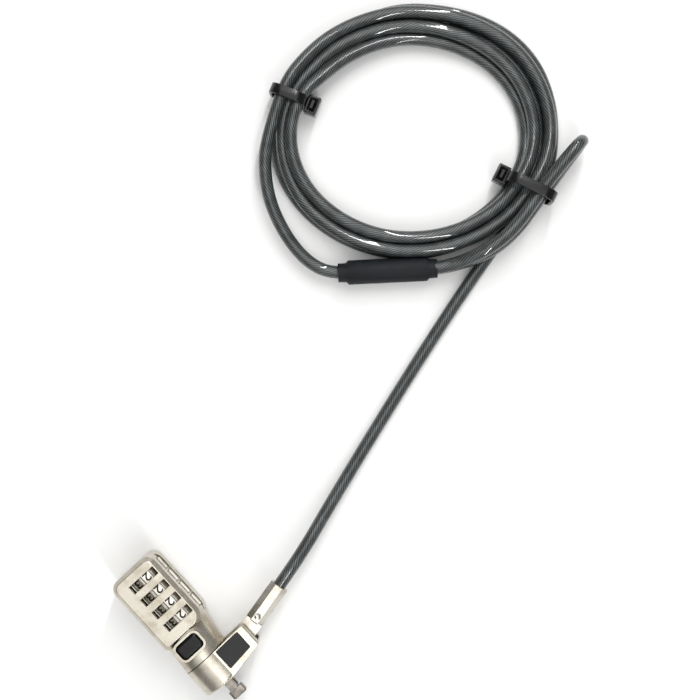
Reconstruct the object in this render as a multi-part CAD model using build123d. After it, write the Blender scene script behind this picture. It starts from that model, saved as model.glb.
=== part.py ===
from build123d import *
import math
import os

os.makedirs("parts", exist_ok=True)

# Laptop cable lock: four-dial lock head, swivelling collar, crimped ferrule and a coiled cable.
# Frame: millimetres, +X along the lock head towards its locking tip, +Y towards the cable,
# +Z up through the dial face. The origin is on the flat back of the head, under the lock axis.

# ---- head: main sizes --------------------------------------------------------------------
AXIS_Z = 8.85           # height of the neck, collar and locking tip axis
NECK_R = 8.65           # outside radius of the neck and of the collar
HEAD_END_X = -19.8      # far end of the head
JOINT_X = 20.0          # plane between the neck and the collar
BLOCK_LEFT_Y = -7.2     # side of the dial block away from the cable
BLOCK_RIGHT_Y = 10.8    # side of the dial block towards the cable
BLOCK_TOP_Z = 18.0      # dial face
PLATEAU_END_X = 9.8     # where the raised dial face ends
SHELL_GAP = 0.05        # assembly gap between pieces that are fixed together
COVER_T = 1.1           # thickness of the back cover
COVER_EDGE = 1.1        # from the cover's edge to the outside of the block
FAR_CORNER_R = 3.6
NEAR_LEFT_CORNER_R = 2.0
NEAR_RIGHT_CORNER_R = 4.8
BEVEL_DOWN = 1.5        # bevel round the dial face, down its side and in from its edge
BEVEL_IN = 1.3
BASE_EDGE_R = 0.7
FACE_EDGE_R = 0.4
SHOULDER_X = 5.5        # where the round shoulder starts inside the dial block
SHOULDER_CORNER_R = 7.4
COVER_CORNER_R = 2.4
COVER_EDGE_R = 0.25

# ---- screws in the back --------------------------------------------------------------------
SCREW_SPOTS = [(-17.4, -3.9), (-17.4, 7.3), (7.2, -4.7), (7.2, 7.8)]
SCREW_R = 0.6
SCREW_HEAD_R = 1.05
SCREW_HEAD_Z = 0.35     # middle of the countersunk head
SCREW_L = 5.0
SCREW_SLOT = (0.4, 4.0, 0.35)
SCREW_SLOT_TURN = 35
RESET_XY = (12.4, 2.4)
RESET_R = 1.9
RESET_STEM_R = 1.1
RESET_RUN = 0.08        # running gap round the reset screw
RESET_FACE_Z = 1.0
RESET_HEAD_TOP_Z = 2.1
RESET_TOP_Z = 3.5
RESET_SLOT = (0.7, 4.2, 0.9)

# ---- dials -------------------------------------------------------------------------------
DIAL_COUNT = 4
DIAL_PITCH = 5.75
DIAL_FIRST_X = -13.9    # middle of the dial nearest the far end
DIAL_Y = 3.4
DIAL_Z = 9.2
DIAL_W = 4.6
DIAL_DIGITS = 10
DIAL_FLAT_R = 6.6       # distance from the axis to a digit flat
DIAL_RIB_R = 7.7        # tip of the grip ribs between the flats
DIAL_RIB_W = 1.1
DIAL_RIB_ROOT_R = 5.4
DIAL_RIB_EDGE_R = 0.3
DIAL_TURN = 13.0        # degrees from +Z towards +Y to the middle of a digit flat
POCKET_R = 8.1
POCKET_W = 5.0
POCKET_FOOT = 6.2       # from the axis to the near wall of a pocket's open foot
WINDOW_L = 10.9
WINDOW_Y = 3.7          # middle of a window
WINDOW_W = 3.2
STRIP_DEPTH = 0.5       # recess along the side that the ribs come out of
STRIP_PAST_DIAL = 4.3   # from the middle of an end dial to the end of the recess
STRIP_H = 9.6
DETENT_Z = (0.65, 0.85) # sprung strip under the dials
DETENT_STRIP = ((-15.9, 5.5), (-0.5, 1.0))
DETENT_FINGER_Y = (0.9, 5.6)
DETENT_FINGER_HALF = 1.2
DETENT_POCKET = ((-16.0, 5.6), (-0.6, 7.4), (0.6, 2.0))
DETENT_ROLL_Y = 5.2
DETENT_ROLL_R = 0.45
DETENT_ROLL_Z = 1.07    # middle of the rounded fingertip

# ---- code sleeves and spindle ------------------------------------------------------------
SLEEVE_R = 3.5
SLEEVE_RUN = 0.3        # running gap round the code sleeves
SLEEVE_L = 5.55
SLEEVE_END_GAP = 0.15   # between the end sleeves and the housing
SLEEVE_BORE_R = 2.0
SLEEVE_RELIEF_R = 3.0
SLEEVE_RELIEF_L = 3.6
SLEEVE_KEY_R = 4.1
KEY_W = 1.0
SPINDLE_R = 1.7
SPINDLE_REAR_X = -16.1
SPINDLE_BORE_R = 1.15
SPINDLE_BORE_L = 4.0
SPRING_SEAT_X = -18.8   # bottom of the pocket that the spindle's end enters
SPRING_POCKET_R = 2.0
FIN_R = 2.8
FIN_T = 0.8
FIN_W = 1.2
FIN_GAP = 0.3           # rest gap between a fin and the end of its relief
WEDGE_X = (9.4, 12.6)
WEDGE_Z = (7.9, 10.6)
WEDGE_W = 2.4
TRAVEL = 2.2            # travel of the button and of the spindle

# ---- push button -------------------------------------------------------------------------
BUTTON_X = 13.2
BUTTON_L = 9.0          # along Y
BUTTON_W = 5.6          # along X
BUTTON_CORNER = 1.5
BUTTON_TOP_Z = 18.3
BUTTON_FLANGE_Z = (11.9, 12.9)
BUTTON_FLANGE = (6.6, 10.2, 1.2)
BUTTON_CROWN_R = 1.1
LEG_X = (10.3, 13.2)    # wedge leg
LEG_LIFT = 0.3          # rest gap between the leg's slope and the spindle's
RACK_FAR_Y = -3.2
BUTTON_SLOT_GAP = 0.15
RIM_W = 0.8             # raised rim round the button
RIM_TOP_Z = 17.95
RIM_FOOT_Z = 14.0
RACK_X = (14.0, 15.4)
RACK_TEETH = 5
PINION_R = 2 * TRAVEL / math.pi     # pitch radius: a quarter turn for the whole travel
PINION_TEETH = 10
TOOTH_W = 0.24
BUTTON_SPRING_XY = (11.5, -1.9)
PINION_NOTCH = ((13.3, 15.9), (-1.75, 1.75), (11.0, 12.95))     # room over the pinion, pressed
SHOULDER_NOTCH = ((15.85, 17.0), (-2.5, 2.5), (11.0, 13.6))     # room over the T-bar's shoulder

# ---- front chamber, nose and locking tip ---------------------------------------------------
CHAMBER_X = (6.9, 16.8)
CHAMBER_FLOOR_Z = 3.8
CHAMBER_ROOF_Z = 13.2
CHAMBER_Y = (-3.6, 5.2)
FLANGE_ROOM = ((9.6, 16.8), (-5.4, 5.4), (8.6, 13.2))   # room for the button's flange
NOSE_REAR_X = 17.0
NOSE_SHANK_R = 5.2
NOSE_JOURNAL_R = 5.0
NOSE_FRONT_X = 30.7
NOSE_BORE_R = 1.36
NOSE_PIN_X = 18.5
NOSE_PIN_R = 0.6
SHOULDER_R = 2.2
TAIL_R = 1.1            # thin rear end of the T-bar's shaft
TOOTH_TIP_R = 1.52
POST_END_X = 34.9
POST_W = 2.8
POST_Z = (1.5, 3.3)     # from the axis to the near and far side of a guide post
RING_X = (29.4, 30.0)
RING_R = (4.35, 6.2)
SHAFT_R = 1.3
SHAFT_REAR_X = 13.5
CROSS_X = (35.1, 38.1)
CROSS_L = 5.8
CROSS_W = 2.7

# ---- collar --------------------------------------------------------------------------------
COLLAR_X = (20.2, 30.9)
COLLAR_BORE_R = 5.08
COLLAR_POCKET_R = 6.6
COLLAR_POCKET_X = 29.2
ARM_ROOT_Y = 3.9
ARM_END_Y = 17.5
ARM_END_X = 28.6
ARM_HALF_ROOT = 7.65    # half height of the arm where it leaves the collar
ARM_HALF_END = 6.05
SLOT_HALF = 3.0
SLOT_ROOT_Y = 7.3
SLOT_WALL_X = 27.8       # the tongue turns 0.3 clear of this wall
PIVOT_X = 24.4
PIVOT_Y = 11.0
PIN_R = 1.25
PIN_RUN = 0.07          # running gap round the hinge pin
PAD_L = 9.9
PAD_W = 7.4
PAD_MID = (24.3, 9.8)
PAD_T = 0.7

# ---- ferrule -------------------------------------------------------------------------------
FERRULE_TURN = 12.0     # degrees from +Y towards -X
TONGUE_W = 6.2
TONGUE_T = 5.6
SLEEVE_START = 9.7      # from the pivot to the crimped sleeve
SLEEVE_END = 24.7       # from the pivot to the cable's mouth
FERRULE_FLATS = 6.5
CABLE_D = 4.5

# ---- coil ----------------------------------------------------------------------------------
RIGHT = Vector(0.6756, 0.7373, 0)     # long axis of the coil
UP = Vector(-0.7373, 0.6756, 0)       # short axis of the coil
COIL_MID = Vector(-64.9, 172.8, 0)    # middle of the coil's opening
COIL_OUTER_SHIFT = (1.8, 3.0)         # the outer edge is this far off the opening's middle
COIL_INNER = (39.1, 32.6)
COIL_OUTER = (51.8, 45.3)
COIL_H = 13.4

# ---- eye crimp and ties ----------------------------------------------------------------------
CRIMP_MID = Vector(-35.75, 136.35, 4.85)
CRIMP_TURN = 50.2
CRIMP_L = 27.9
CRIMP_TOTAL_L = 34.5
CRIMP_HALF = (4.25, 4.85)
CRIMP_NECK_HALF = (3.3, 4.75)
CRIMP_WALL = 0.6
TIE_W = 3.6
TIE_T = 1.1
TIE_HEAD = (4.4, 6.6, 5.6)
TIE_HEAD_IN = 1.9       # from the band to the middle of the head
TIE_HEAD_Z = 6.5
TIE_TAIL = (1.3, 3.3, 1.9)
TIE_TAIL_UP = 3.4       # from the middle of the head to the middle of the tail

LEAD_ROUTE = [
    (19.26, 35.16, 8.85),
    (16.64, 47.5, 8.8),
    (11.0, 66.0, 4.6),
    (4.0, 90.0, 2.3),
    (-4.9, 121.5, 2.35),
    (-12.2, 149.5, 2.3),
    (-17.0, 171.0, 2.3),
    (-18.9, 183.4, 2.6),
    (-20.8, 193.8, 3.2),
]
TAIL_ROUTE = [
    (-97.5, 136.5, 9.6),
    (-91.3, 129.2, 8.8),
    (-81.5, 122.4, 6.9),
    (-70.2, 118.7, 5.4),
    (-59.8, 117.7, 4.9),
    (-52.0, 119.3, 4.85),
    (-46.8, 123.1, 4.85),
]
EYE_ROUTE = [
    (-24.7, 149.6, 2.5),
    (-21.0, 155.8, 3.3),
    (-17.6, 163.2, 6.8),
    (-15.8, 171.0, 7.9),
    (-16.0, 180.0, 8.0),
    (-17.8, 188.5, 7.8),
    (-19.3, 196.4, 7.3),
    (-20.9, 204.4, 4.9),
    (-22.3, 212.3, 3.5),
    (-23.1, 215.9, 6.7),
    (-23.3, 215.9, 11.2),
    (-23.2, 212.3, 14.5),
    (-22.2, 204.8, 13.8),
    (-20.8, 196.2, 12.7),
    (-19.0, 188.0, 12.3),
    (-17.1, 179.8, 12.2),
    (-16.9, 171.2, 12.1),
    (-18.5, 163.0, 10.9),
    (-21.3, 155.6, 8.1),
    (-24.7, 149.6, 7.2),
]


def box(x, y, z):
    """A box from three (low, high) pairs."""
    mid = [(pair[0] + pair[1]) / 2 for pair in (x, y, z)]
    size = [pair[1] - pair[0] for pair in (x, y, z)]
    return Pos(*mid) * Box(*size)


def rod(radius, x0, x1, y=0.0, z=AXIS_Z):
    """A round bar along X."""
    return Pos((x0 + x1) / 2, y, z) * Rot(0, 90, 0) * Cylinder(radius, x1 - x0)


def post(radius, z0, z1, x, y):
    """A round bar along Z."""
    return Pos(x, y, (z0 + z1) / 2) * Cylinder(radius, z1 - z0)


def slab(outline, z0, z1):
    """A plan outline made solid between two heights."""
    return extrude(Pos(0, 0, z0) * outline, amount=z1 - z0)


def save(shape, name):
    """Write one piece."""
    shape.label = name
    export_step(shape, f"parts/{name}.step")


# ---- housing ---------------------------------------------------------------------------------
def block_outline():
    """Plan of the dial block, with its four corners rounded each its own way."""
    line = Polyline(
        (HEAD_END_X, BLOCK_LEFT_Y),
        (PLATEAU_END_X, BLOCK_LEFT_Y),
        (PLATEAU_END_X, BLOCK_RIGHT_Y),
        (HEAD_END_X, BLOCK_RIGHT_Y),
        close=True,
    )
    face = make_face(line)
    far = face.vertices().filter_by(lambda v: v.X < 0)
    face = fillet(far, FAR_CORNER_R)
    near_left = face.vertices().filter_by(lambda v: v.X > 0 and v.Y < 0)
    face = fillet(near_left, NEAR_LEFT_CORNER_R)
    near_right = face.vertices().filter_by(lambda v: v.X > PLATEAU_END_X - 0.1 and v.Y > 0)
    return fillet(near_right, NEAR_RIGHT_CORNER_R)


def head_outside():
    """Dial block with bevelled edges, running into the round neck."""
    block = slab(block_outline(), 0, BLOCK_TOP_Z)
    block = chamfer(block.faces().sort_by(Axis.Z)[-1].edges(), BEVEL_DOWN, BEVEL_IN)
    block = fillet(block.faces().sort_by(Axis.Z)[0].edges(), BASE_EDGE_R)
    block = fillet(block.faces().sort_by(Axis.Z)[-1].edges(), FACE_EDGE_R)
    wide = BLOCK_RIGHT_Y - BLOCK_LEFT_Y
    mid_y = (BLOCK_RIGHT_Y + BLOCK_LEFT_Y) / 2
    rear = Plane(origin=(SHOULDER_X, mid_y, AXIS_Z), x_dir=(0, 1, 0), z_dir=(1, 0, 0))
    front = Plane(origin=(JOINT_X - 0.1, 0, AXIS_Z), x_dir=(0, 1, 0), z_dir=(1, 0, 0))
    shoulder = loft(
        [
            rear * RectangleRounded(wide - 0.1, 2 * NECK_R, SHOULDER_CORNER_R),
            front * RectangleRounded(2 * NECK_R, 2 * NECK_R, NECK_R - 0.02),
        ],
        ruled=True,
    )
    return block + shoulder


def button_plan(grow):
    """Rounded rectangle of the push button, grown all round."""
    plan = RectangleRounded(BUTTON_W + 2 * grow, BUTTON_L + 2 * grow, BUTTON_CORNER + grow)
    return Pos(BUTTON_X, 0, 0) * plan


def cover_outline(grow):
    """Plan of the back cover, inset from the block's outline."""
    inset = COVER_EDGE - grow
    length = PLATEAU_END_X - HEAD_END_X - 2 * inset
    width = BLOCK_RIGHT_Y - BLOCK_LEFT_Y - 2 * inset
    plan = RectangleRounded(length, width, COVER_CORNER_R)
    return Pos((PLATEAU_END_X + HEAD_END_X) / 2, (BLOCK_RIGHT_Y + BLOCK_LEFT_Y) / 2, 0) * plan


def dial_x(index):
    """Middle of one dial along the head."""
    return DIAL_FIRST_X + DIAL_PITCH * index


def housing():
    """Die-cast shell: dial pockets, windows, side strip, front chamber and nose bore."""
    body = head_outside()
    body += slab(button_plan(BUTTON_SLOT_GAP + RIM_W), RIM_FOOT_Z, RIM_TOP_Z)
    for index in range(DIAL_COUNT):
        x = dial_x(index)
        half = POCKET_W / 2
        body -= rod(POCKET_R, x - half, x + half, DIAL_Y, DIAL_Z)
        body -= box((x - half, x + half), (DIAL_Y - POCKET_R, DIAL_Y + POCKET_FOOT), (0, DIAL_Z))
        body -= Pos(x, WINDOW_Y, BLOCK_TOP_Z) * Box(WINDOW_W, WINDOW_L, 2 * (BLOCK_TOP_Z - DIAL_Z - SLEEVE_R))
    strip_mid = (dial_x(0) + dial_x(DIAL_COUNT - 1)) / 2
    strip_l = dial_x(DIAL_COUNT - 1) - dial_x(0) + 2 * STRIP_PAST_DIAL
    strip = Plane(origin=(strip_mid, BLOCK_RIGHT_Y - STRIP_DEPTH, DIAL_Z), x_dir=(1, 0, 0), z_dir=(0, 1, 0))
    body -= extrude(strip * SlotOverall(strip_l, STRIP_H), amount=2)
    first = dial_x(0) - SLEEVE_L / 2 - SLEEVE_END_GAP
    last = dial_x(DIAL_COUNT - 1) + SLEEVE_L / 2 + SLEEVE_END_GAP
    body -= rod(SLEEVE_R + SLEEVE_RUN, first, last, DIAL_Y, DIAL_Z)
    half = SLEEVE_R + SLEEVE_RUN
    body -= box((first, last), (DIAL_Y - half, DIAL_Y + half), (0, DIAL_Z))
    body -= rod(SPRING_POCKET_R, SPRING_SEAT_X, first, DIAL_Y, DIAL_Z)
    body -= rod(SPINDLE_R + 0.1, last, CHAMBER_X[0], DIAL_Y, DIAL_Z)
    body -= box(CHAMBER_X, CHAMBER_Y, (CHAMBER_FLOOR_Z, CHAMBER_ROOF_Z))
    body -= box(*FLANGE_ROOM)
    body -= slab(button_plan(BUTTON_SLOT_GAP), BUTTON_FLANGE_Z[0], BLOCK_TOP_Z + 2)
    body -= rod(NOSE_SHANK_R + SHELL_GAP, CHAMBER_X[1], JOINT_X + 1)
    body -= post(NOSE_PIN_R + SHELL_GAP, -1, AXIS_Z, NOSE_PIN_X, 0)
    body -= slab(cover_outline(SHELL_GAP), -1, COVER_T)
    for x, y in SCREW_SPOTS:
        body -= post(SCREW_R, 0, SCREW_L + 0.4, x, y)
    body -= post(RESET_R + RESET_RUN, -1, RESET_HEAD_TOP_Z + 0.1, *RESET_XY)
    body -= post(RESET_STEM_R + RESET_RUN, 0, CHAMBER_FLOOR_Z + 1, *RESET_XY)
    return body


def back_cover():
    """Flat plate with countersunk holes and a shallow pocket for the detent spring."""
    plate = slab(cover_outline(0), 0, COVER_T)
    plate = fillet(plate.faces().sort_by(Axis.Z)[0].edges(), COVER_EDGE_R)
    for x, y in SCREW_SPOTS:
        plate -= post(SCREW_R + 0.1, -1, 2, x, y)
        plate -= Pos(x, y, SCREW_HEAD_Z) * Rot(180, 0, 0) * Cone(SCREW_R + 0.1, SCREW_HEAD_R + 0.1, 0.7)
    plate -= box(*DETENT_POCKET)
    return plate


def cover_screws():
    """Countersunk screws with a straight slot."""
    group = []
    for x, y in SCREW_SPOTS:
        head = Pos(x, y, SCREW_HEAD_Z) * Rot(180, 0, 0) * Cone(SCREW_R, SCREW_HEAD_R, 0.6)
        screw = head + post(SCREW_R - 0.02, 0.3, SCREW_L, x, y)
        screw -= Pos(x, y, 0.1) * Rot(0, 0, SCREW_SLOT_TURN) * Box(*SCREW_SLOT)
        group.append(screw)
    return Compound(children=group)


def reset_screw():
    """Slotted screw that frees the code sleeves when the code is changed."""
    screw = post(RESET_R, RESET_FACE_Z, RESET_HEAD_TOP_Z, *RESET_XY)
    screw += post(RESET_STEM_R, RESET_FACE_Z + 0.5, RESET_TOP_Z, *RESET_XY)
    screw -= Pos(RESET_XY[0], RESET_XY[1], RESET_FACE_Z) * Rot(0, 0, 90) * Box(*RESET_SLOT)
    return screw


# ---- dials and code sleeves ------------------------------------------------------------------
def dial(index):
    """Ten-sided wheel with grip ribs and a notched bore."""
    x = dial_x(index)
    ring = extrude(RegularPolygon(DIAL_FLAT_R, DIAL_DIGITS, major_radius=False, rotation=0), amount=DIAL_W)
    for number in range(DIAL_DIGITS):
        turn = 360 / DIAL_DIGITS * number
        rib = box((DIAL_RIB_ROOT_R, DIAL_RIB_R), (-DIAL_RIB_W / 2, DIAL_RIB_W / 2), (0, DIAL_W))
        rib = fillet(rib.edges().filter_by(Axis.Z).group_by(Axis.X)[-1], DIAL_RIB_EDGE_R)
        ring += Rot(0, 0, turn) * rib
    ring -= Cylinder(SLEEVE_R + SHELL_GAP, 4 * DIAL_W)
    for number in range(DIAL_DIGITS):
        turn = 360 / DIAL_DIGITS * number
        half = KEY_W / 2 + SHELL_GAP
        ring -= Rot(0, 0, turn) * box((0, SLEEVE_KEY_R + 0.1), (-half, half), (-1, DIAL_W + 1))
    return place_dial(ring, x - DIAL_W / 2)


def place_dial(shape, x):
    """Turn a wheel made about +Z onto the dial axis, a rib in step with the other dials."""
    first_rib = 90 - (DIAL_TURN + 18)
    upright = Plane(origin=(x, DIAL_Y, DIAL_Z), x_dir=(0, 1, 0), z_dir=(1, 0, 0))
    return upright * Rot(0, 0, first_rib) * shape


def code_sleeve(index):
    """Sleeve inside a dial: one key outside, a gate and a round relief inside."""
    sleeve = Pos(0, 0, SLEEVE_L / 2) * Cylinder(SLEEVE_R, SLEEVE_L)
    key = box((SLEEVE_R - 0.3, SLEEVE_KEY_R), (-KEY_W / 2, KEY_W / 2), (0.5, 0.5 + DIAL_W - 0.2))
    sleeve += key
    sleeve -= Cylinder(SLEEVE_BORE_R, 3 * SLEEVE_L)
    sleeve -= Pos(0, 0, SLEEVE_L - SLEEVE_RELIEF_L / 2) * Cylinder(SLEEVE_RELIEF_R, SLEEVE_RELIEF_L)
    gate = box((0, SLEEVE_RELIEF_R), (-FIN_W / 2 - 0.2, FIN_W / 2 + 0.2), (-1, SLEEVE_L))
    sleeve -= gate
    return place_dial(sleeve, dial_x(index) - SLEEVE_L / 2)


def spindle():
    """Bar with one fin for each sleeve and a wedge at the button's end."""
    bar = rod(SPINDLE_R, SPINDLE_REAR_X, WEDGE_X[0] + 0.5, DIAL_Y, DIAL_Z)
    for index in range(DIAL_COUNT):
        x1 = dial_x(index) + SLEEVE_L / 2 - FIN_GAP
        bar += box((x1 - FIN_T, x1), (DIAL_Y - FIN_W / 2, DIAL_Y + FIN_W / 2), (DIAL_Z, DIAL_Z + FIN_R))
    side = make_face(
        Polyline(
            (WEDGE_X[0], WEDGE_Z[0]),
            (WEDGE_X[1], WEDGE_Z[0]),
            (WEDGE_X[1] - (WEDGE_Z[1] - WEDGE_Z[0]), WEDGE_Z[1]),
            (WEDGE_X[0], WEDGE_Z[1]),
            close=True,
        )
    )
    plane = Plane(origin=(0, DIAL_Y + WEDGE_W / 2, 0), x_dir=(1, 0, 0), z_dir=(0, -1, 0))
    bar += extrude(plane * side, amount=WEDGE_W)
    bar -= rod(SPINDLE_BORE_R, SPINDLE_REAR_X - 1, SPINDLE_REAR_X + SPINDLE_BORE_L, DIAL_Y, DIAL_Z)
    return bar


def coil_spring(radius, wire, length, turns):
    """Round-wire spring standing on the origin along +Z."""
    pitch = (length - wire) / turns
    path = Helix(pitch=pitch, height=pitch * turns, radius=radius)
    start = Plane(origin=path @ 0, z_dir=path % 0)
    coil = sweep(start * Circle(wire / 2), path=path, is_frenet=True)
    return Pos(0, 0, wire / 2) * coil


def return_spring():
    """Spring in the spindle's bore, against the far end of the housing."""
    spring = coil_spring(0.85, 0.35, SPINDLE_REAR_X + SPINDLE_BORE_L - SPRING_SEAT_X - 0.05, 6)
    return Plane(origin=(SPRING_SEAT_X + 0.02, DIAL_Y, DIAL_Z), x_dir=(0, 1, 0), z_dir=(1, 0, 0)) * spring


def detent_spring():
    """Sprung strip in the back cover with one finger under each dial."""
    strip = box(*DETENT_STRIP, DETENT_Z)
    for index in range(DIAL_COUNT):
        x = dial_x(index)
        low, high = x - DETENT_FINGER_HALF, x + DETENT_FINGER_HALF
        strip += box((low, high), DETENT_FINGER_Y, DETENT_Z)
        strip += rod(DETENT_ROLL_R, low, high, DETENT_ROLL_Y, DETENT_ROLL_Z)
    return strip


# ---- push button -------------------------------------------------------------------------------
def push_button():
    """Black key cap with its flange, wedge leg and rack leg."""
    cap = slab(button_plan(0), BUTTON_FLANGE_Z[0], BUTTON_TOP_Z)
    cap = fillet(cap.faces().sort_by(Axis.Z)[-1].edges(), BUTTON_CROWN_R)
    cap += slab(Pos(BUTTON_X, 0, 0) * RectangleRounded(*BUTTON_FLANGE), *BUTTON_FLANGE_Z)
    cap -= box(*PINION_NOTCH) + box(*SHOULDER_NOTCH)
    high = BUTTON_FLANGE_Z[0] + 0.2
    slope_foot = WEDGE_X[1] + WEDGE_Z[0] + LEG_LIFT
    leg = make_face(
        Polyline(
            (LEG_X[0], high),
            (LEG_X[0], slope_foot - LEG_X[0]),
            (LEG_X[1], slope_foot - LEG_X[1]),
            (LEG_X[1], high),
            close=True,
        )
    )
    plane = Plane(origin=(0, DIAL_Y + WEDGE_W / 2, 0), x_dir=(1, 0, 0), z_dir=(0, -1, 0))
    rack = box(RACK_X, (RACK_FAR_Y, -PINION_R - 0.35), (AXIS_Z - 2.4, high))
    tooth_pitch = 2 * math.pi * PINION_R / PINION_TEETH
    for number in range(RACK_TEETH):
        z = AXIS_Z + tooth_pitch * (number - 0.5)
        rack += box(RACK_X, (-PINION_R - 0.45, -PINION_R + 0.12), (z - TOOTH_W / 2, z + TOOTH_W / 2))
    return cap + extrude(plane * leg, amount=WEDGE_W) + rack


def button_spring():
    """Spring under the button's flange."""
    spring = coil_spring(1.05, 0.4, BUTTON_FLANGE_Z[0] - CHAMBER_FLOOR_Z - 0.05, 7)
    return Pos(BUTTON_SPRING_XY[0], BUTTON_SPRING_XY[1], CHAMBER_FLOOR_Z + 0.02) * spring


# ---- nose, locking tip, collar -------------------------------------------------------------------
def nose_guide():
    """Fixed sleeve that carries the collar and ends in two guide posts."""
    nose = rod(NOSE_SHANK_R, NOSE_REAR_X, JOINT_X)
    nose += rod(NOSE_JOURNAL_R, JOINT_X, NOSE_FRONT_X)
    for side in (-1, 1):
        z = sorted((AXIS_Z + side * POST_Z[0], AXIS_Z + side * POST_Z[1]))
        guide = box((NOSE_FRONT_X - 1, POST_END_X), (-POST_W / 2, POST_W / 2), z)
        nose += fillet(guide.faces().sort_by(Axis.X)[-1].edges(), 0.3)
    groove = rod(NOSE_JOURNAL_R + 1, RING_X[0] - 0.05, RING_X[1] + 0.05)
    nose -= groove - rod(RING_R[0] - 0.05, RING_X[0] - 1, RING_X[1] + 1)
    nose -= rod(NOSE_BORE_R, NOSE_REAR_X - 1, POST_END_X + 1)
    nose -= post(NOSE_PIN_R + SHELL_GAP, 0, AXIS_Z - 2.5, NOSE_PIN_X, 0)
    return nose


def nose_pin():
    """Cross pin that holds the nose in the neck."""
    return post(NOSE_PIN_R, 0.8, AXIS_Z - 2.6, NOSE_PIN_X, 0)


def retaining_ring():
    """Open clip in the nose's groove that keeps the collar on."""
    ring = rod(RING_R[1], *RING_X) - rod(RING_R[0], RING_X[0] - 1, RING_X[1] + 1)
    return ring - box((RING_X[0] - 1, RING_X[1] + 1), (-2.2, 2.2), (0, AXIS_Z - 2))


def t_bar():
    """Turning shaft: pinion inside, cross bar at the locking tip."""
    shaft = rod(SHAFT_R, NOSE_REAR_X - 1, CROSS_X[0] + 0.5)
    shaft += rod(TAIL_R, SHAFT_REAR_X, NOSE_REAR_X)
    shaft += rod(SHOULDER_R, NOSE_REAR_X - 0.9, NOSE_REAR_X - 0.15)
    for number in range(PINION_TEETH):
        tooth = box(RACK_X, (TAIL_R - 0.2, TOOTH_TIP_R), (-TOOTH_W / 2, TOOTH_W / 2))
        shaft += Pos(0, 0, AXIS_Z) * Rot(360 / PINION_TEETH * number, 0, 0) * tooth
    cross = box(CROSS_X, (-CROSS_L / 2, CROSS_L / 2), (AXIS_Z - CROSS_W / 2, AXIS_Z + CROSS_W / 2))
    cross = fillet(cross.edges().filter_by(Axis.X), 0.9)
    cross = chamfer(cross.faces().sort_by(Axis.X)[-1].edges(), 0.45)
    return shaft + cross


def pad_plane():
    """Plane on the sloping top of the collar's arm, at the middle of the pad."""
    slope = (ARM_HALF_ROOT - ARM_HALF_END) / (ARM_END_Y - ARM_ROOT_Y)
    z = AXIS_Z + ARM_HALF_ROOT - slope * (PAD_MID[1] - ARM_ROOT_Y)
    return Plane(origin=(PAD_MID[0], PAD_MID[1], z), x_dir=(1, 0, 0), z_dir=(0, slope, 1))


def pad_outline(grow):
    """Rounded four-sided outline of the pad, narrower at the arm's end."""
    half_l = PAD_L / 2 + grow
    outline = make_face(
        Polyline(
            (-PAD_W / 2 - grow, -half_l),
            (PAD_W / 2 + 0.3 + grow, -half_l),
            (PAD_W / 2 - 0.6 + grow, half_l),
            (-PAD_W / 2 - grow, half_l),
            close=True,
        )
    )
    return fillet(outline.vertices(), 0.5 + grow)


def collar():
    """Swivelling collar with a tapered, slotted arm for the cable's ferrule."""
    ring = rod(NECK_R, *COLLAR_X)
    ring = fillet(ring.faces().sort_by(Axis.X)[-1].edges(), 1.2)
    side = make_face(
        Polyline(
            (0, AXIS_Z - ARM_HALF_ROOT),
            (ARM_ROOT_Y, AXIS_Z - ARM_HALF_ROOT),
            (ARM_END_Y, AXIS_Z - ARM_HALF_END),
            (ARM_END_Y, AXIS_Z + ARM_HALF_END),
            (ARM_ROOT_Y, AXIS_Z + ARM_HALF_ROOT),
            (0, AXIS_Z + ARM_HALF_ROOT),
            close=True,
        )
    )
    arm = extrude(Plane(origin=(COLLAR_X[0], 0, 0), x_dir=(0, 1, 0), z_dir=(1, 0, 0)) * side, amount=12)
    plan = make_face(
        Polyline(
            (COLLAR_X[0], 0),
            (COLLAR_X[1], 0),
            (COLLAR_X[1], 3.0),
            (ARM_END_X, ARM_END_Y),
            (COLLAR_X[0], ARM_END_Y),
            close=True,
        )
    )
    arm &= slab(plan, -1, 20)
    arm = fillet(arm.faces().sort_by(Axis.Y)[-1].edges(), 0.7)
    body = ring + arm
    body -= rod(COLLAR_BORE_R, COLLAR_X[0] - 1, COLLAR_X[1] + 1)
    body -= rod(COLLAR_POCKET_R, COLLAR_POCKET_X, COLLAR_X[1] + 1)
    body -= box((COLLAR_X[0] - 1, SLOT_WALL_X), (SLOT_ROOT_Y, 20), (AXIS_Z - SLOT_HALF, AXIS_Z + SLOT_HALF))
    body -= extrude(pad_plane() * pad_outline(0.06), amount=3, both=True) & upper_recess()
    body -= post(PIN_R, AXIS_Z - 5.6, 18, PIVOT_X, PIVOT_Y)
    return body


def upper_recess():
    """Everything above the floor of the pad's recess."""
    return extrude(pad_plane().offset(-PAD_T) * Rectangle(40, 40), amount=8)


def collar_pad():
    """Black pad let into the arm over the hinge pin."""
    pad = extrude(pad_plane().offset(-PAD_T + 0.02) * pad_outline(0), amount=PAD_T + 0.1)
    return fillet(pad.faces().sort_by(Axis.Z)[-1].edges(), 0.2)


def hinge_pin():
    """Pin through the arm that the ferrule's tongue turns on."""
    return post(PIN_R, AXIS_Z - 5.5, AXIS_Z + 5.4, PIVOT_X, PIVOT_Y)


def cord_heading():
    """Frame at the pivot whose +Y points along the ferrule."""
    return Pos(PIVOT_X, PIVOT_Y, AXIS_Z) * Rot(0, 0, FERRULE_TURN)


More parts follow.
